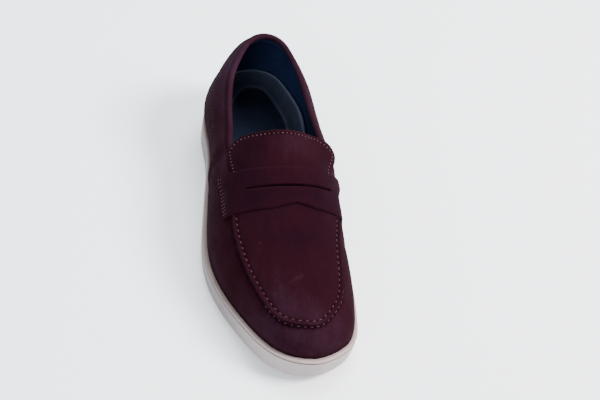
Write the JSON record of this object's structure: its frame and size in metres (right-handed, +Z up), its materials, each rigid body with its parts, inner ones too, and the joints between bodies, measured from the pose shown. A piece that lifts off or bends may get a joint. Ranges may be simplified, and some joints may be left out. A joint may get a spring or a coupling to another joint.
{
  "type": "suede penny loafer",
  "caption": "Right slip-on loafer of dark red suede with a raised apron seam, slotted saddle strap, padded collar and a flat pale rubber sole.",
  "frame": {"origin": "on the floor, under the middle of the shoe's box", "axes": "+X from heel to toe, +Y to the inner side of the foot, +Z up"},
  "size_m": [0.2946, 0.1022, 0.0815],
  "materials": {
    "suede": "napped suede, matt",
    "sole_rubber": "moulded, matt",
    "welt_rubber": "moulded, matt",
    "insole_leather": "smooth, satin"
  },
  "bodies": {
    "root": {"outsole": "sole_rubber", "welt": "welt_rubber", "insole": "insole_leather", "upper": "suede", "apron": "suede", "tongue": "suede", "saddle_strap": "suede", "collar_band": "suede"}
  },
  "joints": []
}
